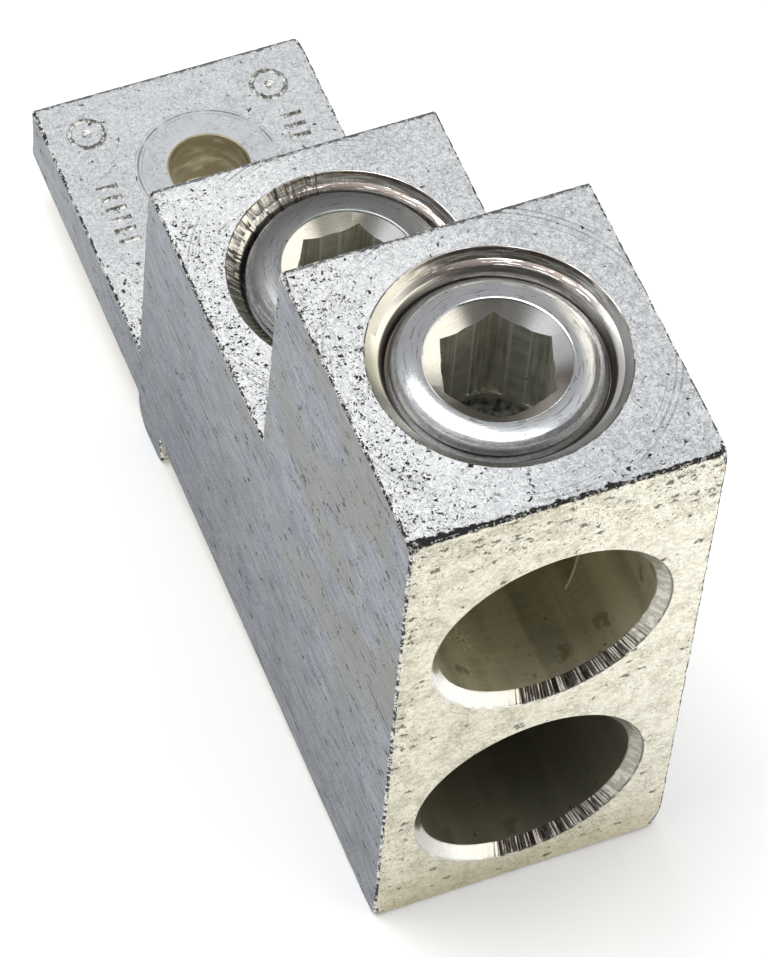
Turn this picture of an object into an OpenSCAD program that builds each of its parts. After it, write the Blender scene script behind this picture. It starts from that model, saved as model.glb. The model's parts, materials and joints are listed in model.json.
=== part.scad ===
// Mechanical lug for two conductors, in millimetres.
// X runs across the bar, +Y runs from the wire ports to the tongue's end and +Z is up.
// The origin is on the stud hole's axis, on the contact face under the tongue.

/* [Extruded bar] */
// Width of the bar, between its two saw cuts
body_w = 38.1; // [34:0.1:60]
// Length of the front block along its top
front_len = 39.9; // [38:0.1:60]
// Length of the middle block along its top
mid_len = 41.3; // [38:0.1:60]
// Length of the tongue, from the middle block's top edge to the end
tongue_len = 43.7; // [36:0.1:80]
// Thickness of the tongue
tongue_t = 9.4; // [5:0.1:14]
// Angle that both risers lean back towards their feet
riser_draft = 3.1; // [0:0.1:5]
// Radius of the bar's long outer edges
edge_r = 0.7; // [0.3:0.1:2]

/* [Locating lip under the bar] */
// Depth of the lip below the contact face
lip_h = 4.9; // [2:0.1:8]
// Length of the lip where it leaves the bar
lip_len = 7.9; // [6:0.1:14]
// How far the lip's nose reaches forward past its root
lip_overhang = 1.6; // [0:0.1:3]
// Radius of the lip's back corner
lip_back_r = 3.8; // [0.5:0.1:4]
// Radius of the lip's nose
lip_nose_r = 1.5; // [0.5:0.1:2]

/* [Wire ports] */
// Diameter of each wire port
port_d = 27; // [22:0.1:30]
// Chamfer round each port's mouth
port_chamfer = 1.4; // [0.4:0.1:2]
// Wall under the lower port
port_floor = 6.4; // [4:0.1:12]
// Wall between the two ports
port_web = 8.7; // [5:0.1:20]
// Wall behind each port's blind end, at the top of the riser
port_end_wall = 3.9; // [2:0.1:5]
// Wall between the upper port and the top of the front block
front_roof = 13.2; // [8:0.1:24]
// Wall between the lower port and the top of the middle block
mid_roof = 12.5; // [8:0.1:24]

/* [Screw holes] */
// Distance from the front face to the front screw's axis
front_screw_set = 20.8; // [18:0.1:22]
// Distance from the front block's top edge to the rear screw's axis
rear_screw_set = 21.8; // [19:0.1:23]
// Diameter of the countersink's rim
csk_d = 30.2; // [28.8:0.1:33]
// Diameter of the countersink's ledge at its outer edge
ledge_d = 28.7; // [27.2:0.1:30]
// Diameter of the lead-in to the thread, at the ledge's inner edge
lead_d = 27; // [26:0.1:28]
// Depth of the ledge's outer edge below the top face
ledge_depth = 1.3; // [0.5:0.1:2]
// Drop of the ledge from its outer to its inner edge
ledge_drop = 0.3; // [0:0.05:1]
// Depth of the lead-in below the ledge
lead_depth = 1.25; // [0.5:0.05:2]
// How far the tapping drill stays inside the screw hole's radius
drill_under = 0.65; // [0.3:0.05:1.2]
// Height above the port's floor at which the tapping drill stops
drill_stop = 2.1; // [0.5:0.1:6]

/* [Set screws] */
// Diameter of the set screws over their thread
screw_d = 25.4; // [20:0.1:25.6]
// Length of a set screw
screw_len = 20; // [16:0.1:26]
// Radial gap between a screw and its hole
thread_gap = 0.05; // [0.02:0.01:0.1]
// Radius of the round shoulder at a screw's top
shoulder_r = 2.2; // [0.5:0.1:2.5]
// Radius of the domed top, from the socket's mouth out to the shoulder
dome_r = 7; // [5.5:0.1:20]
// Chamfer round a screw's tip
tip_chamfer = 1.2; // [0.3:0.1:3]
// Width of the hex socket across its flats
socket_af = 12.7; // [8:0.1:15]
// Thickness left under the socket's pilot hole
socket_floor = 3; // [2:0.1:9]
// Diameter of the pilot hole beyond the width across flats, which leaves a round strip down each flat
pilot_over = 0.2; // [0.1:0.05:0.5]
// Depth of the pilot hole below the end of the broached flats
pilot_past = 1.2; // [0.5:0.1:2]
// How far the socket's countersunk mouth reaches past the hex corners
socket_mouth_rim = 1.2; // [0.3:0.1:2]
// Depth of the socket's countersunk mouth
socket_mouth_depth = 1.6; // [0.5:0.1:3]
// How far the front screw's top lies below the front block's top
front_screw_drop = 0.9; // [-4:0.1:6]
// How far the rear screw's top lies below the middle block's top
rear_screw_drop = -0.6; // [-4:0.1:6]
// Angle of the front screw's hex corner from the tongue's direction
front_screw_turn = -18; // [-30:1:30]
// Angle of the rear screw's hex corner from the tongue's direction
rear_screw_turn = -30; // [-30:1:30]

/* [Tongue] */
// Diameter of the stud hole
stud_hole_d = 10.7; // [6:0.1:20]
// Distance from the stud hole's axis to the tongue's end
stud_from_end = 16.9; // [12:0.1:24]

/* [Hidden] */
$fn = 96;
eps = 0.01;

// Places along the bar
y_end = stud_from_end;
y_mid_back = y_end - tongue_len;
y_front_back = y_mid_back - mid_len;
y_front = y_front_back - front_len;
y_front_screw = y_front + front_screw_set;
y_rear_screw = y_front_back + rear_screw_set;

// Heights above the contact face
lower_port_z = port_floor + port_d / 2;
upper_port_z = lower_port_z + port_d + port_web;
mid_h = lower_port_z + port_d / 2 + mid_roof;
front_h = upper_port_z + port_d / 2 + front_roof;

// Feet of the risers, and the lip's back face under the middle riser's foot
front_foot = (front_h - mid_h) * tan(riser_draft);
mid_foot = (mid_h - tongue_t) * tan(riser_draft);
y_lip_back = y_mid_back + mid_foot;

hole_r = screw_d / 2 + thread_gap;
pilot_d = socket_af + pilot_over;
socket_corner_d = socket_af / cos(30);
socket_mouth_d = socket_corner_d + 2 * socket_mouth_rim;
// Centres of a screw's domed top and of its shoulder, whose arcs run into each other
dome_centre = [socket_mouth_d / 2, screw_len - dome_r];
shoulder_x = screw_d / 2 - shoulder_r;
shoulder_centre = [
    shoulder_x,
    dome_centre.y + sqrt(pow(dome_r - shoulder_r, 2) - pow(shoulder_x - dome_centre.x, 2))
];

// Side profile of the bar, from the front face's foot round to the front again
BAR = [
    [y_front, 0], [y_end, 0], [y_end, tongue_t],
    [y_mid_back + mid_foot, tongue_t], [y_mid_back, mid_h],
    [y_front_back + front_foot, mid_h], [y_front_back, front_h],
    [y_front, front_h]
];
// Radius of each corner of the profile: the feet of the risers are sharp
BAR_R = [edge_r, edge_r, edge_r, 0, edge_r, 0, edge_r, edge_r];

// Section of the lip, with its top inside the bar
LIP = [
    [y_lip_back, edge_r], [y_lip_back, -lip_h],
    [y_lip_back - lip_len - lip_overhang, -lip_h],
    [y_lip_back - lip_len, 0], [y_lip_back - lip_len, edge_r]
];
LIP_R = [0, lip_back_r, lip_nose_r, 0, 0];

function unit(v) = v / norm(v);

// Length of edge that a corner's round takes up on each side
function corner_run(a, p, b, r) =
    let (cosine = unit(a - p) * unit(b - p))
    r / sqrt((1 - cosine) / (1 + cosine));

// Centre of a corner's round
function corner_centre(a, p, b, r) =
    let (bisector = unit(unit(a - p) + unit(b - p)))
    p + bisector * norm([corner_run(a, p, b, r), r]);

// Outline with each corner rounded to its own radius
module rounded(points, radii) {
    n = len(points);
    before = [for (i = [0:n - 1]) points[(i + n - 1) % n]];
    after = [for (i = [0:n - 1]) points[(i + 1) % n]];
    polygon([for (i = [0:n - 1])
        let (run = corner_run(before[i], points[i], after[i], radii[i]))
        each radii[i] == 0 ? [points[i]] : [
            points[i] + run * unit(before[i] - points[i]),
            points[i] + run * unit(after[i] - points[i])
        ]]);
    for (i = [0:n - 1])
        if (radii[i] > 0)
            translate(corner_centre(before[i], points[i], after[i], radii[i]))
                circle(r = radii[i]);
}

// Extrudes an outline, drawn in Y and Z, across the width of the bar
module across_bar() {
    translate([-body_w / 2, 0, 0])
        rotate([90, 0, 90])
            linear_extrude(body_w)
                children();
}

// Blind port bored into the front face, with a chamfered mouth
module wire_port(z, y_blind_end) {
    translate([0, y_front, z])
        rotate([-90, 0, 0]) {
            cylinder(d = port_d, h = y_blind_end - y_front);
            translate([0, 0, -eps])
                cylinder(d1 = port_d + 2 * (port_chamfer + eps), d2 = port_d, h = port_chamfer + eps);
        }
}

// Screw hole from a top face to the port's axis, with its stepped countersink and the tapping drill's end below it
module screw_hole(y, z_top, z_port) {
    drill_r = hole_r - drill_under;
    z_drill = z_port - port_d / 2 + drill_stop;
    z_ledge = z_top - ledge_depth;
    z_lead = z_ledge - ledge_drop;
    translate([0, y, 0])
        rotate_extrude()
            polygon([
                [0, z_drill], [drill_r, z_drill], [drill_r, z_port],
                [hole_r, z_port], [hole_r, z_lead - lead_depth],
                [lead_d / 2, z_lead], [ledge_d / 2, z_ledge],
                [csk_d / 2, z_top], [csk_d / 2, z_top + eps], [0, z_top + eps]
            ]);
}

module lug_body() {
    color("lightgray")
        difference() {
            union() {
                across_bar() rounded(BAR, BAR_R);
                across_bar() rounded(LIP, LIP_R);
            }
            wire_port(lower_port_z, y_mid_back - port_end_wall);
            wire_port(upper_port_z, y_front_back - port_end_wall);
            screw_hole(y_front_screw, front_h, upper_port_z);
            screw_hole(y_rear_screw, mid_h, lower_port_z);
            translate([0, 0, -eps])
                cylinder(d = stud_hole_d, h = tongue_t + 2 * eps);
        }
}

// Half section of a set screw's turned blank, from its chamfered tip to its round shoulder and domed top
module screw_section() {
    thread_r = screw_d / 2;
    up = [0, dome_r];
    out = dome_r * unit(shoulder_centre - dome_centre);
    polygon([
        [0, 0], [thread_r - tip_chamfer, 0], [thread_r, tip_chamfer],
        [thread_r, shoulder_centre.y], dome_centre + out, dome_centre + up, [0, screw_len]
    ]);
    translate(shoulder_centre) circle(r = shoulder_r);
    translate(dome_centre)
        intersection() {
            circle(r = dome_r);
            polygon([[0, 0], 2 * up, 2 * out]);
        }
}

// Set screw standing on its tip: its socket is drilled, broached to a hex and countersunk
module set_screw() {
    z_flats = socket_floor + pilot_past;
    difference() {
        rotate_extrude() screw_section();
        translate([0, 0, socket_floor])
            cylinder(d = pilot_d, h = screw_len - socket_floor + eps);
        translate([0, 0, z_flats])
            rotate(90)
                cylinder(d = socket_corner_d, h = screw_len - z_flats + eps, $fn = 6);
        translate([0, 0, screw_len - socket_mouth_depth])
            cylinder(d1 = pilot_d, d2 = socket_mouth_d, h = socket_mouth_depth);
    }
}

module front_set_screw() {
    color("silver")
        translate([0, y_front_screw, front_h - front_screw_drop - screw_len])
            rotate(front_screw_turn)
                set_screw();
}

module rear_set_screw() {
    color("silver")
        translate([0, y_rear_screw, mid_h - rear_screw_drop - screw_len])
            rotate(rear_screw_turn)
                set_screw();
}

lug_body();
front_set_screw();
rear_set_screw();
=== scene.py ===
import json
import math

import bmesh
import bpy
from mathutils import Matrix, Quaternion, Vector, noise


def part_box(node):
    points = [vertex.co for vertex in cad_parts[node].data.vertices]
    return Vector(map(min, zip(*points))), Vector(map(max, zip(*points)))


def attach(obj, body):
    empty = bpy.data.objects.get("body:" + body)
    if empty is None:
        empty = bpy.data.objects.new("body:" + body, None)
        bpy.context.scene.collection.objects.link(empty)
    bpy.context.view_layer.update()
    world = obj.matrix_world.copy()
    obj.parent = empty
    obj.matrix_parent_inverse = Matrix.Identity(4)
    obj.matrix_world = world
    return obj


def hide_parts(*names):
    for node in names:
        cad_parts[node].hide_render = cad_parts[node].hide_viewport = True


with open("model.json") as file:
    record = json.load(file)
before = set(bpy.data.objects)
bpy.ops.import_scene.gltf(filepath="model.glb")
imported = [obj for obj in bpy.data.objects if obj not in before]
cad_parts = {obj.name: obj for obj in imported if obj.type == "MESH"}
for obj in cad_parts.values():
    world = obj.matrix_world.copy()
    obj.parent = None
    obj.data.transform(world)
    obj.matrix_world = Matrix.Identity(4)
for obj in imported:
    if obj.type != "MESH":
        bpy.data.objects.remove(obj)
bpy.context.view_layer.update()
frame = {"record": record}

# Lug body: a stepped bar of extruded aluminium with a tongue, two blocks and a locating lip, sawn off
# to length, tumbled and plated with matt tin. The plate is pitted, scuffed in rings round the screws by
# the tools that drove them, and rubbed by a washer round the stud hole.
MM = 0.001
mounts = {mount["name"]: mount for mount in frame["record"]["mounts"]}
screw_box = {screw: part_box(screw + "_set_screw") for screw in ("front", "rear")}
screw_y = {screw: (low.y + high.y) / 2 / MM for screw, (low, high) in screw_box.items()}
screw_step = screw_y["front"] - screw_y["rear"]
body_low, body_high = [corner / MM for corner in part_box("lug_body")]
half_w = body_high.x
y_front = body_low.y
y_end = body_high.y
front_h = body_high.z
lip_h = -body_low.z
tongue_t = mounts["stud_hole"]["dims"]["length_mm"]
mid_h = 45.9
front_len = 39.9
mid_len = 41.3
riser_slope = math.tan(math.radians(3.1))
lip_len = 7.9
lip_overhang = 1.6
lip_nose_r = 1.5
lip_back_r = 3.8
foot_r = 0.25
edge_r = 0.7
edge_break = 0.3
washer_r = 9.7
y_front_back = y_front + front_len
y_mid_back = y_front_back + mid_len
y_front_foot = y_front_back + (front_h - mid_h) * riser_slope
y_mid_foot = y_mid_back + (mid_h - tongue_t) * riser_slope
over_tongue = (tongue_t + mid_h) / 2
over_mid = (mid_h + front_h) / 2
# The bar's outline from the side: y, z and radius of each corner
bar_corners = [
    (y_front, 0, edge_r),
    (y_mid_foot - lip_len, 0, foot_r),
    (y_mid_foot - lip_len - lip_overhang, -lip_h, lip_nose_r),
    (y_mid_foot, -lip_h, lip_back_r),
    (y_mid_foot, 0, foot_r),
    (y_end, 0, edge_r),
    (y_end, tongue_t, edge_r),
    (y_mid_foot, tongue_t, foot_r),
    (y_mid_back, mid_h, edge_r),
    (y_front_foot, mid_h, foot_r),
    (y_front_back, front_h, edge_r),
    (y_front, front_h, edge_r),
]
# Blows to the sawn edges: y, z, side of the bar, size and reach
blows = [
    (y_end, 0.5 * tongue_t, -1, 0.55, 5.0),
    (y_end, tongue_t, 1, 0.5, 1.8),
    (y_front, front_h, 1, 0.6, 1.8),
    (y_front, 0, 1, 1.5, 2.6),
    (y_front, 0, -1, 0.5, 1.8),
    (y_mid_back, mid_h, -1, 0.35, 1.8),
    (y_front_back, front_h, -1, 0.3, 1.6),
]
plate_pale = (0.97, 0.98, 0.985, 1)
plate_grey = (0.37, 0.39, 0.41, 1)
plate_mark = (0.12, 0.125, 0.13, 1)
cream_white = (0.98, 0.97, 0.91, 1)
cream_pale = (0.93, 0.90, 0.77, 1)
cream_grey = (0.52, 0.49, 0.37, 1)
cream_low_shade = (0.58, 0.52, 0.33, 1)
cream_mark = (0.08, 0.075, 0.055, 1)
sawn_pale = (0.43, 0.45, 0.485, 1)
sawn_grey = (0.15, 0.163, 0.188, 1)
sawn_olive = (0.26, 0.26, 0.225, 1)
edge_pale = (0.72, 0.715, 0.68, 1)
pit_dark = (0.02, 0.02, 0.022, 1)


class Wire:
    """An output of a node tree. Sums with it add Math nodes, and node() adds any other node."""

    def __init__(self, tree, socket=None):
        self.tree = tree
        self.socket = socket

    def node(self, kind, settings=None, sockets=None, out=0):
        added = self.tree.nodes.new("ShaderNode" + kind)
        for name, value in (settings or {}).items():
            setattr(added, name, value)
        for name, value in (sockets or {}).items():
            if isinstance(value, Wire):
                self.tree.links.new(value.socket, added.inputs[name])
            else:
                added.inputs[name].default_value = value
        return Wire(self.tree, added.outputs[out] if len(added.outputs) else None)

    def beside(self, out):
        """Another output of the same node."""
        return Wire(self.tree, self.socket.node.outputs[out])

    def math(self, operation, first, second=0.0):
        return self.node("Math", {"operation": operation}, {0: first, 1: second})

    def __add__(self, other):
        return self.math("ADD", self, other)

    __radd__ = __add__

    def __sub__(self, other):
        return self.math("SUBTRACT", self, other)

    def __rsub__(self, other):
        return self.math("SUBTRACT", other, self)

    def __mul__(self, other):
        return self.math("MULTIPLY", self, other)

    __rmul__ = __mul__

    def __truediv__(self, other):
        return self.math("DIVIDE", self, other)

    def __rtruediv__(self, other):
        return self.math("DIVIDE", other, self)

    def above(self, level):
        return self.math("GREATER_THAN", self, level)

    def most(self, other):
        return self.math("MAXIMUM", self, other)

    def root(self):
        return self.math("SQRT", self)

    def rise(self, low, high):
        """0 at low, 1 at high and smooth between them, whichever of the two is larger."""
        span = {"Value": self, "From Min": low, "From Max": high}
        return self.node("MapRange", {"interpolation_type": "SMOOTHSTEP"}, span)

    def mix(self, colour_at_0, colour_at_1):
        colours = {0: self, 6: colour_at_0, 7: colour_at_1}
        return self.node("Mix", {"data_type": "RGBA"}, colours, out=2)

    def parts(self):
        x = self.node("SeparateXYZ", None, {0: self})
        return x, x.beside(1), x.beside(2)

    def stretch(self, x, y, z):
        return self.node("VectorMath", {"operation": "MULTIPLY"}, {0: self, 1: (x, y, z)})

    def cloud(self, scale, detail=2.0):
        return self.node("TexNoise", None, {"Vector": self, "Scale": scale, "Detail": detail})

    def bands(self, scale, detail=1.0):
        """Uneven bands that change along this value alone."""
        along = {"W": self, "Scale": scale, "Detail": detail}
        return self.node("TexNoise", {"noise_dimensions": "1D"}, along)

    def lines(self, width):
        """1 along the thin lines where a cloud crosses its middle value."""
        return self.rise(0.5 - width, 0.5) * self.rise(0.5 + width, 0.5)

    def ruffle(self, scale, reach):
        """The place moved about a little, so that what is drawn there has a ragged outline."""
        drift = self.cloud(scale).beside("Color").stretch(reach, reach, reach)
        return self.node("VectorMath", {"operation": "ADD"}, {0: self, 1: drift})

    def specks(self, scale, share, size):
        """1 inside scattered specks: that share of the cells has one, of that size in cells."""
        reach = self.node("TexVoronoi", None, {"Vector": self, "Scale": scale}, out="Distance")
        draw = reach.beside("Color")
        draw = draw.node("SeparateColor", None, {0: draw})
        return reach.rise(size, size * 0.6) * (share - draw).rise(0, 0.02)

    def surface(self, colour, roughness, height, depth, metallic=1.0):
        """Ends the tree in a metal surface whose bump has that depth in millimetres."""
        relief = {"Strength": 1.0, "Distance": depth * MM, "Height": height}
        metal = {
            "Base Color": colour,
            "Roughness": roughness,
            "Metallic": metallic,
            "Specular IOR Level": 0.2,
            "Normal": self.node("Bump", None, relief),
        }
        shader = self.node("BsdfPrincipled", None, metal)
        self.node("OutputMaterial", None, {"Surface": shader})


def finish(name):
    """A new material, and its object coordinates in millimetres."""
    material = bpy.data.materials.new(name)
    material.use_nodes = True
    material.node_tree.nodes.clear()
    metres = Wire(material.node_tree).node("TexCoord", out="Object")
    return material, metres.stretch(1 / MM, 1 / MM, 1 / MM)


def tin_top():
    material, place = finish("tin_top")
    x, y, z = place.parts()
    on_block = z.above(over_tongue)
    on_front = z.above(over_mid)
    on_tongue = 1 - on_block
    along = y - (on_block * screw_y["rear"] + on_front * screw_step)
    from_axis = (x * x + along * along).root()
    grain = place.cloud(1.5, 5.0)
    fine = place.cloud(3.4, 3.0)
    blotch = place.cloud(0.22, 3.0)
    patch = place.cloud(0.6, 2.0)
    wisp = place.cloud(0.9, 4.0)
    rubbed = on_tongue * from_axis.rise(washer_r + 0.3, washer_r - 0.3)
    rim = from_axis.rise(washer_r + 0.4, washer_r) * from_axis.rise(washer_r - 1.3, washer_r - 0.8)
    rim = on_tongue * rim * from_axis.bands(2.6).rise(0.48, 0.60) * place.cloud(0.35).rise(0.42, 0.58)
    swept = on_block * from_axis.rise(16.8, 18.0) * from_axis.rise(23, 21)
    arcs = from_axis.bands(2.6).rise(0.55, 0.60) * place.cloud(0.14).rise(0.42, 0.58)
    arcs = arcs * fine.rise(0.35, 0.6)
    marks = (0.75 * arcs * swept).most(0.7 * rim)
    near_front = on_front * y.rise(y_front + 9, y_front)
    near_riser = on_tongue * y.rise(-6, -20)
    white_side = x.rise(9, -13) * (on_block + 0.8 * near_riser)
    crowd = white_side * blotch.rise(0.28, 0.5) * (0.15 + 0.85 * x.rise(-10, -16)) + 0.25 * near_front
    torn = place.ruffle(2.0, 1.4)
    pits_and_edge_shade = torn.specks(1.1, 0.04 + 0.7 * crowd, 0.33).most(torn.specks(2.1, 0.05 + 0.6 * crowd, 0.34))
    ragged = 1.2 * (wisp - 0.5) + 0.6 * (fine - 0.5)
    # Painted shade: dark lines along the top's front and far edges, added to the real pits below.
    near_edge_painted_shade = on_front * (y_front + edge_r - 0.1 + 0.5 * x.rise(-6, -17) + ragged - y).rise(0, 0.15)
    y_far = y_end + on_block * (y_mid_back - y_end) + on_front * (y_front_back - y_mid_back)
    far_edge_painted_shade = 0.8 * (y - y_far + edge_r + 0.05 + ragged).rise(0, 0.15) * grain.rise(0.36, 0.48)
    pits_and_edge_shade = (pits_and_edge_shade * (1 - 0.9 * rubbed)).most(near_edge_painted_shade).most(far_edge_painted_shade)
    freckles = torn.specks(3.2, 0.10 + 0.4 * crowd, 0.38) * (1 - 0.7 * rubbed)
    hair = wisp.lines(0.015) * place.cloud(0.4).rise(0.42, 0.54)
    scribble = place.cloud(1.8, 2.0).lines(0.025) * patch.rise(0.42, 0.58) * (1 - rubbed)
    mottle = 0.26 * (grain.rise(0.37, 0.63) - 0.5) + 0.34 * (fine.rise(0.37, 0.63) - 0.5)
    tone = 0.36 + 0.36 * white_side - 0.06 * near_front + 0.3 * (blotch - 0.5) + 0.2 * (patch - 0.5)
    tone = tone + mottle * (1 - 0.3 * on_tongue - 0.5 * rubbed) - 0.08 * rubbed
    colour = tone.mix(plate_grey, plate_pale)
    colour = marks.most(0.6 * freckles).most(0.8 * hair).most(0.55 * scribble).mix(colour, plate_mark)
    colour = pits_and_edge_shade.mix(colour, pit_dark)
    roughness = 0.5 - 0.10 * tone - 0.06 * rubbed + 0.2 * pits_and_edge_shade
    place.surface(colour, roughness, 0.6 * grain - pits_and_edge_shade, 0.07, metallic=0.35)
    return material


def tin_front():
    material, place = finish("tin_front")
    x, _, z = place.parts()
    grain = place.stretch(0.8, 1, 1).cloud(1.5, 5.0)
    fine = place.cloud(4.5, 2.0)
    patch = place.cloud(0.35, 3.0)
    blotch = place.cloud(0.14, 3.0)
    corner = x.rise(2, 12) * z.rise(64, 74)
    crowd = 0.5 * blotch.rise(0.46, 0.62) + z.rise(68, 80) + 0.6 * x.rise(-13, -19) + 0.5 * corner
    torn = place.ruffle(2.0, 1.4)
    flecks = torn.stretch(0.5, 1, 1).specks(0.9, 0.02 + 0.5 * crowd, 0.34)
    pits_and_edge_shade = flecks.most(torn.specks(1.9, 0.05 + 0.4 * crowd, 0.33)) * (0.7 + 0.3 * fine.rise(0.42, 0.58))
    # Painted shade: a ragged dark band along the top edge of the front, added to the real pits.
    front_edge_painted_shade = (z - front_h + 0.45 - (grain - 0.5)).rise(0, 0.15)
    pits_and_edge_shade = pits_and_edge_shade.most(front_edge_painted_shade)
    freckles = torn.specks(2.9, 0.14 + 0.35 * crowd, 0.36)
    flakes = place.cloud(2.2, 2.0).rise(0.55, 0.63) * (0.15 + 0.5 * x.rise(-15, 10))
    tone = grain.rise(0.38, 0.60) * 0.34 + patch.rise(0.36, 0.60) * 0.36 - 0.04
    tone = tone + fine.rise(0.38, 0.62) * 0.30 + 0.17 * x.rise(-10, 14)
    colour = flakes.mix(tone.mix(cream_grey, cream_pale), cream_white)
    # Painted shade: the foot of the front is darker and more olive.
    colour = (0.5 * z.rise(12, 1)).mix(colour, cream_low_shade)
    colour = (0.6 * freckles).most(0.9 * pits_and_edge_shade).mix(colour, cream_mark)
    roughness = 0.5 - 0.08 * tone + 0.2 * pits_and_edge_shade
    place.surface(colour, roughness, 0.6 * grain - pits_and_edge_shade, 0.05)
    return material


def sawn_side():
    material, place = finish("sawn_side")
    _, y, z = place.parts()
    streak = place.stretch(1, 0.14, 1).cloud(1.4, 4.0)
    mottle = place.stretch(1, 0.5, 1).cloud(0.8, 4.0)
    blotch = place.cloud(0.10, 3.0)
    grain = place.cloud(3.0, 3.0)
    toward_front = y.rise(-35, -100)
    toward_end = y.rise(-45, 15)
    olive = place.stretch(1, 0.5, 1).cloud(0.12, 3.0).rise(0.42, 0.58)
    olive = olive * (0.2 + 0.8 * toward_front * z.rise(10, 50))
    thin = place.stretch(1, 0.018, 1).cloud(1.9, 2.0).rise(0.63, 0.68)
    scratch = thin * place.cloud(0.2).rise(0.42, 0.56)
    share = 0.12 + 0.5 * toward_front * blotch.rise(0.40, 0.62) * z.rise(5, 50)
    torn = place.ruffle(1.6, 1.6)
    flecks = torn.stretch(1, 0.28, 1).specks(1.15, share, 0.31).most(torn.specks(2.0, share * 0.7, 0.32))
    marks = (0.6 * scratch).most(0.8 * flecks)
    tone = blotch.rise(0.3, 0.7) * 0.15 + mottle.rise(0.35, 0.62) * 0.2 + grain.rise(0.35, 0.65) * 0.3
    # Lighter towards the end; darker towards the bottom, which is painted shade.
    tone = tone + 0.26 * toward_end - 0.22 * z.rise(45, 5)
    tone = tone + streak.rise(0.3, 0.68) * (0.1 + 0.2 * toward_front)
    colour = (0.75 * olive).mix(tone.mix(sawn_grey, sawn_pale), sawn_olive)
    colour = marks.mix(colour, pit_dark)
    roughness = 0.48 - 0.06 * tone + 0.2 * marks
    place.surface(colour, roughness, 0.4 * streak - marks, 0.04)
    return material


def worn_and_shaded_edge(name, bare):
    """An edge rubbed to bare metal, the more so the larger bare is, and dark elsewhere with dirt and with
    painted shade of the rounded edge.
    """
    material, place = finish(name)
    break_up = place.cloud(1.4, 3.0)
    fine = place.cloud(4.0, 2.0)
    dark = (break_up * 0.55 + fine * 0.45).rise(0.70 - 0.25 * bare, 0.62 - 0.25 * bare)
    colour = (0.95 * dark).mix(edge_pale, pit_dark)
    place.surface(colour, 0.36 + 0.2 * dark, fine - 0.6 * dark, 0.05)
    return material


def rounded(corners, spacing):
    """Points round a closed outline of (y, z, radius) corners, no further apart than spacing."""
    arc_steps = 6
    coarse = []
    for i, (y, z, radius) in enumerate(corners):
        tip = Vector((y, z))
        back = (Vector(corners[i - 1][:2]) - tip).normalized()
        ahead = (Vector(corners[(i + 1) % len(corners)][:2]) - tip).normalized()
        half = back.angle(ahead) / 2
        centre = tip + (back + ahead).normalized() * (radius / math.sin(half))
        spoke = tip + back * (radius / math.tan(half)) - centre
        turn = math.copysign(math.pi - 2 * half, ahead.cross(back))
        for k in range(arc_steps + 1):
            coarse.append(centre + Matrix.Rotation(turn * k / arc_steps, 2) @ spoke)
    points = []
    for start, end in zip(coarse, coarse[1:] + coarse[:1]):
        runs = max(1, math.ceil((end - start).length / spacing))
        points += [start.lerp(end, k / runs) for k in range(runs)]
    return points


def broken_by(point, side):
    """Size of the edge break at a point of the outline, on one side of the bar."""
    coarse = noise.noise(Vector((0.35 * point.x, 0.35 * point.y, 5 * side)))
    fine = noise.noise(Vector((1.6 * point.x, 1.6 * point.y, 9 * side)))
    size = edge_break * (1 + 0.5 * coarse + 0.6 * max(0, fine))
    for y, z, struck_side, deep, reach in blows:
        if side == struck_side:
            size += deep * math.exp(-((point - Vector((y, z))).length / reach) ** 2)
    return size


def bar_blank(spacing):
    """The bar as rings of points from its left side to its right, with a face across each side."""
    points = rounded(bar_corners, spacing)
    count = len(points)
    ways = [(points[(i + 1) % count] - points[i]).normalized() for i in range(count)]
    outward = [Vector((way.y, -way.x)) for way in ways]
    breaks = 4
    rings = [(-1, k) for k in range(breaks, -1, -1)] + [(1, k) for k in range(breaks + 1)]
    shape = bmesh.new()
    loops = []
    for side, k in rings:
        angle = math.pi / 2 * k / breaks
        loop = []
        for i, point in enumerate(points):
            normal = (outward[i - 1] + outward[i]).normalized()
            size = broken_by(point, side)
            spot = point - normal * (size * (1 - math.cos(angle)) / max(0.5, normal.dot(outward[i])))
            x = side * (half_w - size * (1 - math.sin(angle)))
            loop.append(shape.verts.new((x, spot.x, spot.y)))
        loops.append(loop)
    top, front, side_face, sawn_edge, long_edge = range(5)
    flat = 0.9
    for k, (left, right) in enumerate(zip(loops, loops[1:])):
        for i in range(count):
            j = (i + 1) % count
            face = shape.faces.new((left[i], left[j], right[j], right[i]))
            face.material_index = sawn_edge
            if k == breaks:
                if outward[i].y > flat:
                    face.material_index = top
                elif max(abs(outward[i].x), -outward[i].y) > flat or points[i].y < 0:
                    face.material_index = front
                else:
                    face.material_index = long_edge
    for loop in (loops[0], loops[-1]):
        shape.faces.new(loop).material_index = side_face
    return shape


def piece(name, shape, finishes, place=Matrix()):
    """An object from a shape in millimetres, with a list of finishes for its faces' indices."""
    shape.transform(place)
    bmesh.ops.recalc_face_normals(shape, faces=shape.faces)
    mesh = bpy.data.meshes.new(name)
    shape.to_mesh(mesh)
    shape.free()
    for material in finishes:
        mesh.materials.append(material)
    made = bpy.data.objects.new(name, mesh)
    bpy.context.scene.collection.objects.link(made)
    return made


top_plate = tin_top()
rubbed_and_shaded_edge = worn_and_shaded_edge("long_edge", 0.45)
skin = [top_plate, tin_front(), sawn_side(), worn_and_shaded_edge("sawn_edge", 0.6), rubbed_and_shaded_edge]
lug = piece("tin_plated_lug", bar_blank(0.6), skin)

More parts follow.
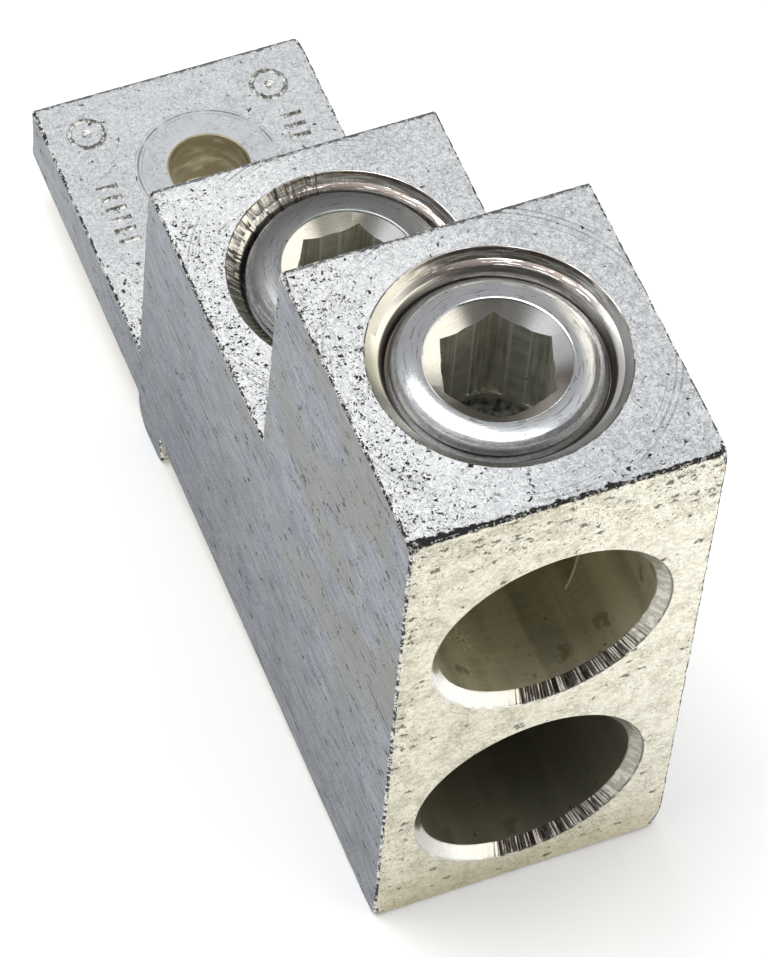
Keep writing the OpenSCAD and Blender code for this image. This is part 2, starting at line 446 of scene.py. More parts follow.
# The cuts: blind wire ports, tapped screw holes with stepped countersinks, and the stud hole. A worn
# cutter has left chatter on the port chamfers and on the rear countersink, and each countersink's ledge
# was turned a little off centre.
port_r = mounts["upper_wire_port"]["dims"]["r_mm"]
port_chamfer = 1.4
port_rim_r = port_r + port_chamfer
upper_z = mounts["upper_wire_port"]["pos_m"][2] / MM
lower_z = mounts["lower_wire_port"]["pos_m"][2] / MM
between_ports = (lower_z + upper_z) / 2
between_screws = (screw_box["rear"][1].z + screw_box["front"][0].z) / 2 / MM
screw_top = {screw: high.z / MM for screw, (low, high) in screw_box.items()}
csk_r = 15.1
ledge_r = 14.1
ledge_slip = Vector((0.17, 0.20, 0))
lead_r = 13.5
ledge_depth = 1.3
lead_depth = 1.6
thread_depth = 2.85
thread_pitch = 1.27
thread_r = 12.7
thread_root_r = 11.92
thread_gap = 0.08
drill_r = 12.1
drill_stop = 2.1
burr_r = 0.16
stud_r = mounts["stud_hole"]["dims"]["r_mm"]
washer_sink = 0.06
socket_edge_r = 9.0
cut_pale = (0.90, 0.89, 0.86, 1)
cut_grey = (0.78, 0.765, 0.69, 1)
cut_dull = (0.54, 0.53, 0.44, 1)
cut_dark = (0.16, 0.135, 0.12, 1)
bore_pale = (0.92, 0.86, 0.62, 1)
bore_dark = (0.44, 0.42, 0.31, 1)
bore_brown = (0.30, 0.25, 0.145, 1)
bore_painted_shade = (0.20, 0.20, 0.15, 1)
bore_bright = (1.0, 0.93, 0.72, 1)
burr_bright = (0.95, 0.93, 0.86, 1)


def about_screw(place):
    """From the nearer screw's axis: across the bar, along it and straight out, then the height."""
    x, y, z = place.parts()
    along = y - (screw_y["rear"] + z.above(between_screws) * screw_step)
    return x, along, (x * x + along * along).root(), z


def round_axis(x, y, from_axis, spread, across):
    """A place for marks that run round an axis: spread sets how fast it goes round."""
    return x.node("CombineXYZ", None, {0: spread * x / from_axis, 1: spread * y / from_axis, 2: across})


def bright_cut():
    material, place = finish("bright_cut")
    x, _, z = place.parts()
    up = z - (lower_z + z.above(between_ports) * (upper_z - lower_z))
    from_axis = (x * x + up * up).root()
    spoke = round_axis(x, up, from_axis, 18, 0.3 * from_axis).cloud(1.0, 3.0)
    fine = place.cloud(5.0, 2.0)
    dull = x.rise(3, 10)
    past_clean = x.rise(-2.7, -2.5) * up.rise(1, -1)
    ticks = (past_clean * x.rise(14, 10)).most(0.4 * dull) * spoke.rise(0.52, 0.57)
    shade = 0.55 * past_clean * x.rise(10, 5)
    outer_line = from_axis.rise(port_rim_r - 0.22, port_rim_r - 0.08)
    inner_line = from_axis.rise(port_r + 0.16, port_r + 0.06)
    lines = outer_line.most(inner_line) * place.cloud(0.5).rise(0.36, 0.5) * (0.3 + 0.7 * x.rise(-4, 2))
    smears = 0.45 * dull * place.cloud(1.1, 4.0).rise(0.46, 0.60)
    dark = ticks.most(shade).most(0.9 * lines).most(smears)
    colour = (0.8 * dull).mix(fine.rise(0.3, 0.6).mix(cut_grey, cut_pale), cut_dull)
    colour = dark.mix(colour, cut_dark)
    place.surface(colour, 0.18 + 0.15 * dull, fine, 0.004)
    return material


def turned_cut():
    """For the countersinks in the bar and, inside socket_edge_r, for the sockets' mouths."""
    material, place = finish("turned_cut")
    x, along, from_axis, z = about_screw(place)
    streak = round_axis(x, along, from_axis, 2, 2.2 * (from_axis + z)).cloud(2.5, 4.0)
    spoke = round_axis(x, along, from_axis, 30, 0.4 * from_axis).cloud(1.0, 3.0)
    fine = place.cloud(5.0, 2.0)
    tone = fine.rise(0.3, 0.6) * 0.5 + streak.rise(0.3, 0.6) * 0.5
    on_front = z.above(between_screws)
    below = mid_h + on_front * (front_h - mid_h) - z
    in_mouth = from_axis.rise(socket_edge_r + 0.3, socket_edge_r)
    in_sink = 1 - in_mouth
    far_side = in_sink * along.rise(-2, 5) * x.rise(-9, -2)
    on_ledge = below.rise(ledge_depth - 0.10, ledge_depth - 0.02)
    on_ledge = on_ledge * below.rise(lead_depth + 0.02, lead_depth - 0.04)
    # Dark streaks on the far side's ledge and in a band under its rim: partly torn metal, partly painted
    # shade.
    under_rim = below.rise(0.10, 0.16) * below.rise(0.60, 0.40)
    torn = far_side * on_ledge.most(under_rim) * streak.rise(0.37, 0.44)
    # Painted shade: the far side's wall is darkened, in streaks.
    far_wall_painted_shade = far_side * (1 - on_ledge) * (0.2 + 0.6 * streak.rise(0.42, 0.56))
    # Painted shade: the lead down into the gap round the screw is darkened, less on the far side.
    lead_gap_painted_shade = in_sink * below.rise(lead_depth + 0.08, lead_depth + 0.24) * (0.95 - 0.5 * far_side)
    ticks = in_sink * (1 - on_front) * x.rise(7, 0) * along.rise(-4, 3) * spoke.rise(0.57, 0.61)
    rim_line = (1 - far_side) * from_axis.rise(csk_r - 0.08, csk_r) * place.cloud(0.6).rise(0.34, 0.48)
    # Painted shade: the near side of the socket's mouth is darkened.
    dirt_and_shade = 0.85 * in_mouth * (along / from_axis).rise(-0.1, -0.55)
    clean = in_sink * x.rise(-3, -8) * along.rise(4, 8)
    dull = 0.9 * in_sink * x.rise(0, -6) * along.rise(8, 4)
    dark = torn.most(ticks).most(rim_line).most(dirt_and_shade).most(lead_gap_painted_shade).most(far_wall_painted_shade)
    colour = clean.mix(tone.mix(cut_grey, cut_pale), burr_bright)
    colour = dull.mix(colour, cut_dull)
    colour = dark.mix(colour, cut_dark)
    place.surface(colour, 0.28 - 0.05 * tone + 0.1 * dark, 0.4 * streak + 0.1 * fine, 0.010)
    return material


def bored_wall():
    material, place = finish("bored_wall")
    x, y, z = place.parts()
    rings = place.stretch(0.1, 3.0, 0.1).cloud(1.0, 3.0)
    drag = place.stretch(1, 0.05, 1).cloud(0.25, 3.0)
    stain = place.cloud(0.14, 3.0)
    swirl = place.stretch(1, 1, 2.5).cloud(0.25, 4.0)
    fine = place.cloud(3.0, 2.0)
    specks = place.ruffle(2.0, 1.2).specks(0.9, 0.06, 0.18)
    tone = rings.rise(0.3, 0.7) * 0.15 + drag.rise(0.40, 0.62) * 0.4
    tone = tone + stain.rise(0.35, 0.65) * 0.3 + fine.rise(0.3, 0.7) * 0.15
    brown = place.ruffle(0.8, 3.0).specks(0.22, 0.5, 0.32) * y.rise(y_front + 9, y_front + 4)
    in_stud_hole = y.rise(-14, -10) * (0.55 + 0.45 * swirl.rise(0.40, 0.58))
    # Painted shade: the inside of the lower port is darkened.
    in_lower_port = z.rise(39, 36) * y.rise(-14, -20)
    colour = (0.75 * brown).most(in_stud_hole).mix(tone.mix(bore_dark, bore_pale), bore_brown)
    colour = (0.75 * in_lower_port).mix(colour, bore_painted_shade)
    shine = x.rise(9.4, 10.8) * x.rise(12.6, 11.4)
    glint = x.rise(-8.0, -7.0) * x.rise(-5.2, -6.2) * y.rise(y_front + 5.5, y_front + 8)
    glint = glint * y.rise(y_front + 12.5, y_front + 10) * fine.rise(0.38, 0.52)
    lit = z.above(between_ports) * (0.6 * shine).most(glint)
    colour = lit.mix(colour, bore_bright)
    colour = specks.mix(colour, pit_dark)
    place.surface(colour, 0.40 - 0.1 * tone, rings - 0.6 * specks, 0.03, metallic=0.55)
    return material


def raised_burr():
    material, place = finish("raised_burr")
    fine = place.cloud(2.0, 2.0)
    colour = fine.rise(0.3, 0.5).mix(cut_grey, burr_bright)
    place.surface(colour, 0.3 + 0.1 * fine, fine, 0.02, metallic=0.25)
    return material


def chatter(centre_deg, spread_deg, fineness):
    """Uneven tool chatter round a cut, strongest at one bearing."""
    def swing(angle):
        off = (math.degrees(angle) - centre_deg + 180) % 360 - 180
        spot = Vector((math.cos(angle), math.sin(angle), 0.7))
        strength = math.exp(-((off / spread_deg) ** 6)) * (0.8 + 0.6 * noise.noise(5 * spot))
        return strength * (1.5 * noise.noise(fineness * spot) + 0.8 * noise.noise(2.1 * fineness * spot))
    return swing


def lathe(rings, steps=384, shake=None):
    """A turned shape from (radius, height, finish, swing) rings. A radius of 0 closes an end."""
    shape = bmesh.new()
    loops = []
    for radius, height, _, swing in rings:
        loop = []
        for k in range(steps if radius else 1):
            angle = 2 * math.pi * k / steps
            reach = radius + (swing * shake(angle) if swing else 0)
            loop.append(shape.verts.new((reach * math.cos(angle), reach * math.sin(angle), height)))
        loops.append(loop)
    for lower, upper, (_, _, index, _) in zip(loops, loops[1:], rings):
        for k in range(steps):
            corners = [lower[k % len(lower)], lower[(k + 1) % len(lower)]]
            corners += [upper[(k + 1) % len(upper)], upper[k % len(upper)]]
            shape.faces.new(list(dict.fromkeys(corners))).material_index = index
    return shape


def threaded_rod(root_r, crest_r, datum, low, high):
    """A right-hand threaded rod between two heights, with a thread's start at the datum height."""
    steps = 96
    flanks = [(0.0, root_r), (0.25, root_r), (0.56, crest_r), (0.69, crest_r)]
    start = datum - thread_pitch * math.ceil((datum - low) / thread_pitch + 2)
    turns = math.ceil((high - start) / thread_pitch) + 2
    shape = bmesh.new()
    rows = []
    for k in range(turns * steps):
        angle = 2 * math.pi * k / steps
        way = Vector((math.cos(angle), math.sin(angle), 0))
        z = start + thread_pitch * k / steps
        row = []
        for share, radius in flanks:
            row.append(shape.verts.new(way * radius + Vector((0, 0, z + share * thread_pitch))))
        rows.append(row)
    for k in range(len(rows) - 1):
        here = rows[k]
        after = rows[k + 1]
        for j in range(len(flanks) - 1):
            shape.faces.new((here[j], after[j], after[j + 1], here[j + 1]))
        if k + 1 + steps < len(rows):
            shape.faces.new((here[-1], after[-1], rows[k + 1 + steps][0], rows[k + steps][0]))
    for height, way in ((high, 1), (low, -1)):
        everything = shape.verts[:] + shape.edges[:] + shape.faces[:]
        spot = {"plane_co": (0, 0, height), "plane_no": (0, 0, way)}
        bmesh.ops.bisect_plane(shape, geom=everything, dist=1e-6, clear_outer=True, **spot)
    rims = [edge for edge in shape.edges if edge.is_boundary]
    bmesh.ops.holes_fill(shape, edges=rims, sides=0)
    return shape


def carve(target, tool, operation="DIFFERENCE"):
    """Cuts a tool out of a piece, joins them or keeps what they share. The tool's finishes come along."""
    step = target.modifiers.new("carve", "BOOLEAN")
    step.operation = operation
    step.solver = "MANIFOLD"
    step.material_mode = "TRANSFER"
    step.object = tool
    seen = bpy.context.evaluated_depsgraph_get()
    carved = bpy.data.meshes.new_from_object(target.evaluated_get(seen))
    target.modifiers.clear()
    target.data = carved
    bpy.data.objects.remove(tool)


def wire_port(mount, chatter_at):
    """A cutter for a blind port: bore, chamfered mouth and a rim that is rounded over."""
    depth = mount["dims"]["length_mm"] + port_chamfer
    wall, chamfer = range(2)
    rings = [
        (0, -depth, wall, 0),
        (port_r - 0.5, -depth, wall, 0),
        (port_r, -depth + 0.5, wall, 0),
        (port_r, -port_chamfer, chamfer, 0.04),
        (port_r + 0.5 * port_chamfer, -0.5 * port_chamfer, chamfer, 0.09),
        (port_rim_r - 0.1, -0.1, chamfer, 0.12),
        (port_rim_r, -0.03, chamfer, 0.12),
        (port_rim_r + 0.12, 0.01, chamfer, 0.09),
        (port_rim_r + 0.12, 2, chamfer, 0),
        (0, 2, chamfer, 0),
    ]
    shape = lathe(rings, 1200, chatter(chatter_at, 42, 55))
    place = Matrix.Translation(Vector(mount["pos_m"]) / MM) @ Matrix.Rotation(math.pi / 2, 4, "X")
    return piece("port_cutter", shape, [bore, cut], place)


def countersink(y, z_top, chatter_at, swing):
    """A cutter for the stepped countersink over a screw hole, with its ledge off centre."""
    rings = [
        (0, -thread_depth - 0.2, 0, 0),
        (thread_r + 0.03, -thread_depth - 0.2, 0, 0),
        (thread_r + 0.05, -thread_depth, 0, 0),
        (lead_r, -lead_depth, 0, swing),
        (lead_r + 0.08, -lead_depth + 0.06, 0, swing),
        (ledge_r, -ledge_depth, 0, swing),
        (csk_r - 0.10, -0.17, 0, swing),
        (csk_r, -0.04, 0, 0),
        (csk_r + 0.16, 0.01, 0, 0),
        (csk_r + 0.16, 2, 0, 0),
        (0, 2, 0, 0),
    ]
    shape = lathe(rings, 900, chatter(chatter_at, 70, 45))
    for corner in shape.verts:
        if abs(corner.co.z + ledge_depth) < 0.01:
            corner.co += ledge_slip
    return piece("countersink_cutter", shape, [turned], Matrix.Translation((0, y, z_top)))


def tapped_hole(y, z_top, z_port, datum):
    """Cutters for a screw hole: the tapping drill's end below the port's axis, and the thread above."""
    z_drill = z_port - port_r + drill_stop
    z_roof = z_port + 1
    rings = [
        (0, z_drill, 0, 0),
        (drill_r, z_drill, 0, 0),
        (drill_r, z_roof, 0, 0),
        (0, z_roof, 0, 0),
    ]
    place = Matrix.Translation((0, y, 0))
    drill = piece("drill_cutter", lathe(rings), [bore], place)
    rod = threaded_rod(thread_root_r + thread_gap, thread_r + thread_gap, datum, z_port, z_top - 1)
    return drill, piece("tap_cutter", rod, [bore], place)


def drill_burr(y, z_port, side):
    """The bright lip raised where the tapping drill broke into one side of a port."""
    reach = math.acos(math.sqrt(port_r ** 2 - (port_r - drill_stop) ** 2) / drill_r)
    steps = 48
    sides = 8
    spine = []
    for k in range(steps + 1):
        angle = reach * (2 * k / steps - 1)
        x = drill_r * math.cos(angle)
        z = z_port - math.sqrt(port_r ** 2 - x * x)
        spine.append(Vector((side * x, y + drill_r * math.sin(angle), z)))
    shape = bmesh.new()
    loops = []
    for k, spot in enumerate(spine):
        way = (spine[min(k + 1, steps)] - spine[max(k - 1, 0)]).normalized()
        out = Vector((spot.x, 0, spot.z - z_port)).normalized()
        turns = [Quaternion(way, 2 * math.pi * j / sides) for j in range(sides)]
        loops.append([shape.verts.new(spot + burr_r * (turn @ out)) for turn in turns])
    for here, after in zip(loops, loops[1:]):
        for j in range(sides):
            shape.faces.new((here[j - 1], here[j], after[j], after[j - 1]))
    shape.faces.new(loops[0])
    shape.faces.new(loops[-1])
    return piece("burr", shape, [burr])


def stud_hole():
    """A cutter for the stud hole, with the shallow seat that a washer has pressed round it."""
    seat = tongue_t - washer_sink
    wall, pressed = range(2)
    rings = [
        (0, -1, wall, 0),
        (stud_r + 0.3, -1, wall, 0),
        (stud_r + 0.3, -0.01, wall, 0),
        (stud_r + 0.06, 0.1, wall, 0),
        (stud_r, 0.3, wall, 0),
        (stud_r, seat - 0.35, wall, 0),
        (stud_r + 0.06, seat - 0.12, wall, 0),
        (stud_r + 0.28, seat, pressed, 0),
        (washer_r - 0.25, seat, pressed, 0),
        (washer_r + 0.05, tongue_t + 0.005, pressed, 0),
        (washer_r + 0.05, tongue_t + 1, pressed, 0),
        (0, tongue_t + 1, pressed, 0),
    ]
    return piece("stud_cutter", lathe(rings, 192), [bore, top_plate])


bore = bored_wall()
cut = bright_cut()
turned = turned_cut()
burr = raised_burr()
carve(lug, wire_port(mounts["upper_wire_port"], -60))
carve(lug, wire_port(mounts["lower_wire_port"], -58))
for screw, z_top, z_port, chatter_at, swing in (
    ("front", front_h, upper_z, 60, 0.01),
    ("rear", mid_h, lower_z, 140, 0.11),
):
    carve(lug, countersink(screw_y[screw], z_top, chatter_at, swing))
    for tool in tapped_hole(screw_y[screw], z_top, z_port, screw_top[screw]):
        carve(lug, tool)
    for side in (-1, 1):
        carve(lug, drill_burr(screw_y[screw], z_port, side), "UNION")
carve(lug, stud_hole())

# Knocks and stamps: the front corner was dented in handling, and plain rings with a centre point and
# rows of plain bars were struck into the tongue with punches.
dent_at = (-half_w, y_front, front_h)
dent_r = 3.2
dent_out = 2.0
stamp_depth = 0.32
stamp_width = 0.75
stamp_ring_r = 2.3
stamp_rings = [(-13.5, 10.5), (12.35, 10.4)]
stamp_bars = [(-14.0, 1.2, 6), (13.3, 4.6, 3)]
stamp_past = 0.02
bar_pitch = 1.8
bar_len = 3.0
sharp_deg = 24
mark_pale = (0.86, 0.865, 0.85, 1)
mark_dark = (0.21, 0.21, 0.19, 1)


def struck_mark():
    material, place = finish("struck_mark")
    grain = place.cloud(1.6, 3.0)
    fine = place.cloud(5.0, 2.0)
    # The dark patches in the stamps' grooves are partly dirt and partly painted shade.
    dirt_and_shade = (grain * 0.6 + fine * 0.4).rise(0.56, 0.44)
    place.surface(dirt_and_shade.mix(mark_pale, mark_dark), 0.40 + 0.15 * dirt_and_shade, fine - 0.5 * dirt_and_shade, 0.04)
    return material


def corner_dent():
    """A ragged ball that overlaps the corner a little."""
    shape = bmesh.new()
    bmesh.ops.create_icosphere(shape, subdivisions=4, radius=dent_r)
    for corner in shape.verts:
        corner.co *= 1 + 0.06 * noise.noise(1.3 * corner.co) + 0.02 * noise.noise(5 * corner.co)
    away = Vector((-1, -1, 1)).normalized() * dent_out
    return piece("dent_cutter", shape, [rubbed_and_shaded_edge], Matrix.Translation(Vector(dent_at) + away))


def stamped_ring(spot):
    """A ring-shaped punch with a centre point."""
    groove = tongue_t - stamp_depth
    above = tongue_t + stamp_past
    half = stamp_width / 2
    steps = 64
    ring = [
        (stamp_ring_r - half, above),
        (stamp_ring_r - 0.1, groove),
        (stamp_ring_r + 0.1, groove),
        (stamp_ring_r + half, above),
    ]
    turn = [2 * math.pi * k / steps for k in range(steps)]
    shape = bmesh.new()
    loops = []
    for radius, z in ring:
        loops.append([shape.verts.new((radius * math.cos(a), radius * math.sin(a), z)) for a in turn])
    for lower, upper in zip(loops, loops[1:] + loops[:1]):
        for k in range(steps):
            shape.faces.new((lower[k - 1], lower[k], upper[k], upper[k - 1]))
    point = Matrix.Translation((0, 0, (groove + above) / 2)) @ Matrix.Rotation(math.pi, 4, "X")
    cone = {"segments": 24, "radius1": 0.75, "radius2": 0.1, "depth": above - groove}
    bmesh.ops.create_cone(shape, cap_ends=True, matrix=point, **cone)
    return piece("stamp_cutter", shape, [mark], Matrix.Translation((*spot, 0)))


def stamped_bars(x, y, count):
    """A row of bar-shaped punches with sloping walls."""
    shape = bmesh.new()
    for k in range(count):
        middle = y - k * bar_pitch
        place = Matrix.Translation((x, middle, tongue_t)) @ Matrix.Diagonal((bar_len, stamp_width, 1, 1))
        for corner in bmesh.ops.create_cube(shape, size=1, matrix=place)["verts"]:
            if corner.co.z > tongue_t:
                corner.co.z = tongue_t + stamp_past
            else:
                corner.co.z = tongue_t - stamp_depth
                corner.co.x = x + 0.85 * (corner.co.x - x)
                corner.co.y = middle + 0.35 * (corner.co.y - middle)
    return piece("stamp_cutter", shape, [mark])


def fit_in_place(made, body, node):
    """Brings a carved piece to metres, smooths it between sharp edges and puts it in the node's place."""
    made.data.transform(Matrix.Scale(MM, 4))
    made.data.polygons.foreach_set("use_smooth", [True] * len(made.data.polygons))
    made.data.set_sharp_from_angle(angle=math.radians(sharp_deg))
    evened = made.modifiers.new("even_normals", "WEIGHTED_NORMAL")
    evened.keep_sharp = True
    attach(made, body)
    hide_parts(node)


mark = struck_mark()
carve(lug, corner_dent())
for spot in stamp_rings:
    carve(lug, stamped_ring(spot))
for x, y, count in stamp_bars:
    carve(lug, stamped_bars(x, y, count))
fit_in_place(lug, "lug", "lug_body")

# Set screws: aluminium, turned and threaded, with a domed top that runs into a round shoulder. The hex
# socket is drilled, then broached, which leaves a round strip down each flat and torn chips at its end.
screw_len = 20.0
shoulder_r = 2.2
dome_r = 7.0
dome_edge_r = 11.6
near_edge_r = 10.6
tip_chamfer = 1.2
socket_floor = 3.0
pilot_past = 1.2
socket_af = 12.7
socket_corner_r = 0.2
pilot_r = 6.45
mouth_r = socket_af / math.sqrt(3) + 1.2
mouth_depth = 1.6
screw_turn_deg = {"front": 72, "rear": 60}
turned_pale = (0.80, 0.805, 0.80, 1)
turned_grey = (0.64, 0.645, 0.65, 1)
turned_dark = (0.19, 0.194, 0.194, 1)
shoulder_pale = (0.40, 0.40, 0.405, 1)
shoulder_dark = (0.22, 0.22, 0.222, 1)
near_shade = (0.11, 0.11, 0.11, 1)
socket_pale = (0.78, 0.77, 0.67, 1)
socket_dark = (0.38, 0.375, 0.315, 1)
pilot_pale = (0.80, 0.79, 0.70, 1)
pilot_dark = (0.50, 0.49, 0.42, 1)
socket_floor_shade = (0.20, 0.195, 0.16, 1)


def turned_metal():
    """For the domes and, outside dome_edge_r, for the threads."""
    material, place = finish("turned_metal")
    x, along, from_axis, z = about_screw(place)
    scuff = round_axis(x, along, from_axis, 2, 2.5 * from_axis).cloud(2.0, 4.0)
    rings = from_axis.bands(7.0, 2.0)
    smear = place.cloud(0.35, 3.0)
    fine = place.cloud(4.0, 2.0)
    tone = rings.rise(0.3, 0.7) * 0.3 + smear.rise(0.3, 0.65) * 0.5 + fine.rise(0.3, 0.7) * 0.2
    specks = place.ruffle(2.0, 1.2).specks(2.2, 0.15, 0.28).most(0.5 * scuff.rise(0.55, 0.64))
    on_rear = 1 - z.above(between_screws)
    # Painted shade: a dark band round the near side of the dome's edge, coloured like the shoulder and
    # darker still.
    near_edge_shade = (from_axis + 0.4 * (scuff - 0.5)).rise(near_edge_r, near_edge_r + 0.4)
    near_edge_shade = along.rise(3, -4) * near_edge_shade
    thread_and_near_shade = from_axis.rise(dome_edge_r, dome_edge_r + 0.2).most(near_edge_shade)
    # The rear screw's dome is darker and rougher.
    colour = (0.85 * on_rear).mix(tone.mix(turned_grey, turned_pale), turned_dark)
    colour = thread_and_near_shade.mix(colour, fine.rise(0.35, 0.65).mix(shoulder_dark, shoulder_pale))
    colour = (0.7 * near_edge_shade).mix(colour, near_shade)
    colour = (0.8 * specks).mix(colour, pit_dark)
    roughness = 0.20 - 0.06 * tone + 0.2 * on_rear.most(thread_and_near_shade)
    place.surface(colour, roughness, rings + 0.5 * fine - specks, 0.005)
    return material


def dull_shoulder():
    material, place = finish("dull_shoulder")
    x, along, from_axis, z = about_screw(place)
    streak = round_axis(x, along, from_axis, 2, 3 * (from_axis + z)).cloud(2.0, 3.0)
    fine = place.cloud(3.5, 3.0)
    tone = streak.rise(0.35, 0.65) * 0.5 + fine.rise(0.35, 0.65) * 0.5
    place.surface(tone.mix(shoulder_dark, shoulder_pale), 0.40 - 0.06 * tone, streak + fine, 0.015)
    return material


def drilled_wall():
    material, place = finish("drilled_wall")
    rings = place.stretch(0.2, 0.2, 3.0).cloud(1.0, 3.0)
    smear = place.cloud(0.4, 2.0)
    tone = rings.rise(0.3, 0.7) * 0.5 + smear.rise(0.3, 0.7) * 0.5
    place.surface(tone.mix(pilot_dark, pilot_pale), 0.36 - 0.06 * tone, rings, 0.02, metallic=0.6)
    return material


def drilled_end():
    material, place = finish("drilled_end")
    dirt_and_shade = place.cloud(1.2, 3.0)
    # The socket's floor is painted near black: painted shade, blotched with dirt.
    colour = dirt_and_shade.rise(0.3, 0.7).mix(pit_dark, socket_floor_shade)
    place.surface(colour, 0.5 + 0.2 * dirt_and_shade, dirt_and_shade, 0.05, metallic=0.5)
    return material


def broached_wall():
    material, place = finish("broached_wall")
    _, _, from_axis, _ = about_screw(place)
    streak = place.stretch(1, 1, 0.06).cloud(2.2, 3.0)
    smear = place.cloud(0.3, 2.0)
    chips = place.ruffle(2.0, 0.5).specks(1.2, 0.06, 0.22)
    lip = from_axis.rise(pilot_r + 0.08, pilot_r + 0.02)
    tone = streak.rise(0.35, 0.65) * 0.55 + smear.rise(0.3, 0.7) * 0.45
    colour = lip.mix(tone.mix(socket_dark, socket_pale), cut_pale)
    colour = chips.mix(colour, pit_dark)
    place.surface(colour, 0.42 - 0.08 * tone, streak - 0.5 * chips, 0.04, metallic=0.6)
    return material


def screw_blank():
    """Turned outside and drilled, countersunk inside of a screw standing on its tip at height 0."""
    outside, pilot, end, shoulder, mouth = range(5)
    blank_r = thread_r + 0.03
    dome_z = screw_len - dome_r
    shoulder_x = blank_r - shoulder_r
    shoulder_z = dome_z + math.sqrt((dome_r - shoulder_r) ** 2 - (shoulder_x - mouth_r) ** 2)
    meet = math.atan2(shoulder_z - dome_z, shoulder_x - mouth_r)
    rings = [
        (0, 0, outside, 0),
        (blank_r - tip_chamfer, 0, outside, 0),
        (blank_r, tip_chamfer, outside, 0),
    ]
    steps = 12
    for k in range(steps):
        lean = meet * k / steps
        radius = shoulder_x + shoulder_r * math.cos(lean)
        rings.append((radius, shoulder_z + shoulder_r * math.sin(lean), shoulder, 0))
    for k in range(steps):
        lean = meet + (math.pi / 2 - meet) * k / steps
        rings.append((mouth_r + dome_r * math.cos(lean), dome_z + dome_r * math.sin(lean), outside, 0))
    rings += [
        (mouth_r + 0.20, screw_len - 0.003, outside, 0),
        (mouth_r + 0.06, screw_len - 0.03, outside, 0),
        (mouth_r - 0.04, screw_len - 0.09, outside, 0),
        (mouth_r - 0.13, screw_len - 0.18, mouth, 0),
        (pilot_r, screw_len - mouth_depth, pilot, 0),
        (pilot_r, socket_floor + 0.3, end, 0),
        (pilot_r - 0.3, socket_floor, end, 0),
        (0, socket_floor, end, 0),
    ]
    return lathe(rings, 192)


def broach():
    """A hex cutter with uneven flats and a ragged end, so that it leaves streaks and torn corners."""
    corners = [Vector((socket_af / math.sqrt(3), 0))]
    for _ in range(5):
        corners.append(Matrix.Rotation(math.pi / 3, 2) @ corners[-1])
    outline = rounded([(corner.x, corner.y, socket_corner_r) for corner in corners], 0.35)
    shape = bmesh.new()
    low = []
    high = []
    for point in outline:
        rough = noise.noise(Vector((7 * point.x, 7 * point.y, 0.5)))
        spot = point * (1 + 0.003 * rough)
        torn = 0.5 * noise.noise(Vector((2.3 * point.x, 2.3 * point.y, 4.5)))
        low.append(shape.verts.new((spot.x, spot.y, socket_floor + pilot_past + torn)))
        high.append(shape.verts.new((spot.x, spot.y, screw_len + 1)))
    floor = shape.verts.new((0, 0, socket_floor + pilot_past))
    roof = shape.verts.new((0, 0, screw_len + 1))
    for i in range(len(outline)):
        j = (i + 1) % len(outline)
        shape.faces.new((low[i], low[j], high[j], high[i]))
        shape.faces.new((low[j], low[i], floor))
        shape.faces.new((high[i], high[j], roof))
    return shape


broached = broached_wall()
screw_finish = [turned_metal(), drilled_wall(), drilled_end(), dull_shoulder(), turned, broached]
for screw in ("front", "rear"):
    turn = Matrix.Rotation(math.radians(screw_turn_deg[screw]), 4, "Z")
    stand = Matrix.Translation((0, screw_y[screw], screw_top[screw] - screw_len))
    thread = threaded_rod(thread_root_r, thread_r, screw_len, -0.5, screw_len + 0.5)
    made = piece(screw + "_screw", thread, screw_finish)
    carve(made, piece("blank", screw_blank(), screw_finish), "INTERSECT")
    carve(made, piece("broach", broach(), [broached], turn))
    made.data.transform(stand)
    fit_in_place(made, screw + "_screw", screw + "_set_screw")

# Floor: a plain white board. The lug lies on its lip and the foot of its front face, so the floor is
# tilted to touch both.
floor_size = 6.0
floor_white = (0.90, 0.90, 0.90, 1)
floor_glow = (0.25, 0.25, 0.25, 1)
no_glow = (0, 0, 0, 1)
tilt = math.atan2(lip_h, y_mid_foot - lip_back_r - y_front)
floor_mesh = bpy.data.meshes.new("floor")
floor_shape = bmesh.new()
bmesh.ops.create_grid(floor_shape, x_segments=1, y_segments=1, size=floor_size / 2)
floor_shape.to_mesh(floor_mesh)
floor_shape.free()
floor = bpy.data.objects.new("floor", floor_mesh)
bpy.context.scene.collection.objects.link(floor)
floor.location = (0, y_front * MM, 0)
floor.rotation_euler = (-tilt, 0, 0)
floor_paint = bpy.data.materials.new("floor_white")
floor_paint.use_nodes = True
floor_paint.node_tree.nodes.clear()
ray = Wire(floor_paint.node_tree).node("LightPath", out="Is Camera Ray")
seen = ray.most(ray.beside("Is Glossy Ray")).most(ray.beside("Is Transmission Ray"))
board = {
    "Base Color": floor_white,
    "Roughness": 0.9,
    "Specular IOR Level": 0.1,
    "Emission Color": seen.mix(no_glow, floor_glow),
    "Emission Strength": 1.0,
}
ray.node("OutputMaterial", None, {"Surface": ray.node("BsdfPrincipled", None, board)})
floor_mesh.materials.append(floor_paint)

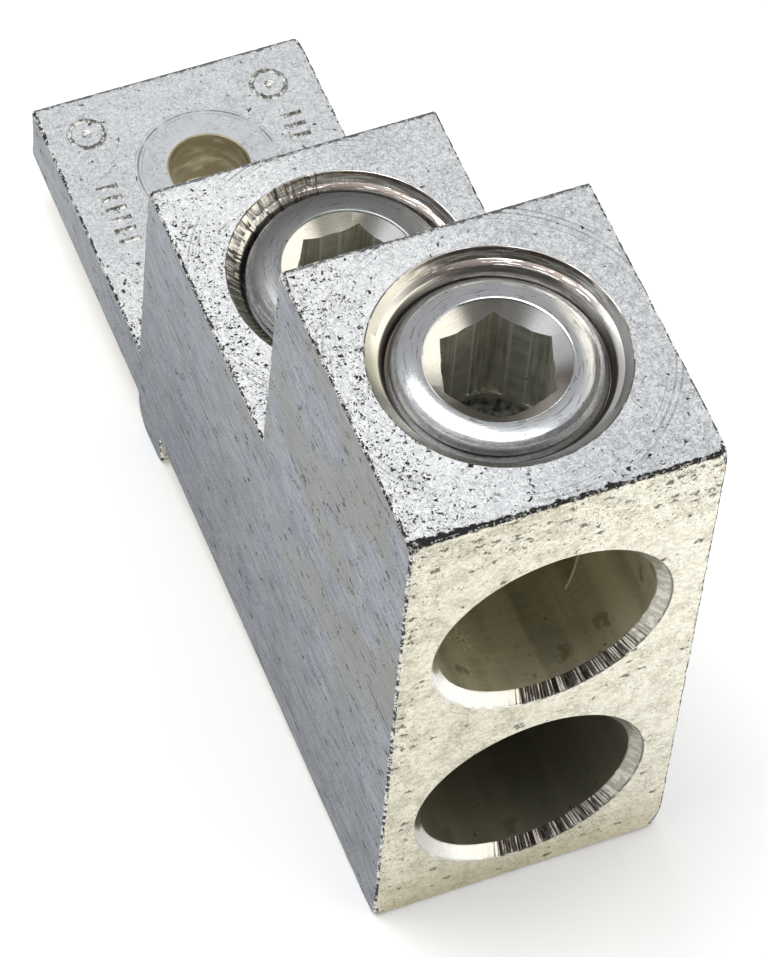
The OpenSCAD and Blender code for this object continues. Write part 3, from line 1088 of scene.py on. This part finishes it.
# Light: two soft lamps overhead, a strong one towards the back and a weak one towards the front, in a
# room that is bright on the right, grey at the back and dark in front.
room_side = (0.72, 0.74, 0.78, 1)
room_back = (0.42, 0.425, 0.44, 1)
room_corner = (0.62, 0.65, 0.68, 1)
room_front = (0.09, 0.085, 0.08, 1)
room_window = (1.30, 1.25, 1.12, 1)


def soft_light(name, strength, towards, spread_deg):
    lamp = bpy.data.lights.new(name, "SUN")
    lamp.energy = strength
    lamp.angle = math.radians(spread_deg)
    made = bpy.data.objects.new(name, lamp)
    made.rotation_mode = "QUATERNION"
    made.rotation_quaternion = Vector(towards).to_track_quat("Z", "Y")
    bpy.context.scene.collection.objects.link(made)


soft_light("overhead", 1.42, (-0.2, 0.25, 0.95), 34)
soft_light("near", 0.34, (0.14, -0.11, 0.98), 26)
room = bpy.data.worlds.new("room")
room.use_nodes = True
room.node_tree.nodes.clear()
way = Wire(room.node_tree).node("TexCoord", out="Generated")
way_x, way_y, way_z = way.parts()
glow = way_y.rise(0.15, 0.45).mix(room_side, room_back)
upper_left = way_x.rise(-0.05, -0.35) * way_z.rise(0.55, 0.75) * way_y.rise(0.1, 0.3)
glow = upper_left.mix(glow, room_corner)
glow = (way_y.rise(0.0, -0.35) * way_z.rise(0.95, 0.88)).mix(glow, room_front)
window = (way_x - 0.7 * way_y).rise(0.05, 0.25) * way_x.rise(0.40, 0.55) * way_z.rise(0.80, 0.62)
glow = window.mix(glow, room_window)
sky = way.node("Background", None, {"Color": glow, "Strength": 1.0})
way.node("OutputWorld", None, {"Surface": sky})
bpy.context.scene.world = room

# Camera: where the photograph was taken from, above the front left corner, with a long lens a little
# over half a metre away and rolled a few degrees.
eye = Vector((-152.8, -372.8, 534.9)) * MM
aim = Vector((0.0, -60.9, 20.65)) * MM
roll = math.radians(5.25)
lens = bpy.data.cameras.new("camera")
lens.lens = 187.6
lens.sensor_width = 36.0
lens.clip_start = 0.05
lens.clip_end = 20.0
camera = bpy.data.objects.new("camera", lens)
camera.rotation_mode = "QUATERNION"
camera.location = eye
camera.rotation_quaternion = (aim - eye).to_track_quat("-Z", "Y") @ Quaternion((0, 0, 1), roll)
bpy.context.scene.collection.objects.link(camera)
bpy.context.scene.camera = camera
bpy.context.scene.view_settings.view_transform = "Standard"
